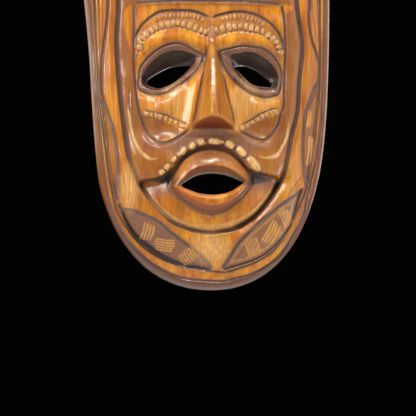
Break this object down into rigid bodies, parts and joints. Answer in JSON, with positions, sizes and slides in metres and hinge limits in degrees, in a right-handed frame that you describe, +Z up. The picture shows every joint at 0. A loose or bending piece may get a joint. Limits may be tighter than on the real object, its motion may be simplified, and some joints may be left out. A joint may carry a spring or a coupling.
{
  "type": "carved wooden wall mask",
  "caption": "Tall oval carved wooden face mask with pierced eyes and mouth, hollow back, and a strap hanger with a swinging D-ring.",
  "frame": {"origin": "the point of the wall plane where the nail carries the hanger's ring, 320 mm above the chin, in the plane of the flat back rim", "axes": "+Z up from chin to crown, -Y out of the carved face, +Y into the wall, +X to the right seen from the front"},
  "size_m": [0.188, 0.0672, 0.3459],
  "materials": {
    "varnished_wood": "stained, carved hardwood under gloss varnish, scraped back to bare wood on beads and ridges",
    "plated_steel": "yellow zinc plate, satin",
    "screw_steel": "zinc plate, slightly dull"
  },
  "bodies": {
    "mask": {"mask_body": "varnished_wood", "hanger_strap": "plated_steel", "hanger_screw_upper": "screw_steel", "hanger_screw_lower": "screw_steel"},
    "ring": {"hanger_ring": "plated_steel"}
  },
  "joints": [
    {"name": "ring_swing", "type": "hinge", "parent": "mask", "child": "ring", "pos_m": [0, -0.0051, -0.0142], "axis": [-1, 0, 0], "range_deg": [-5, 175]}
  ]
}
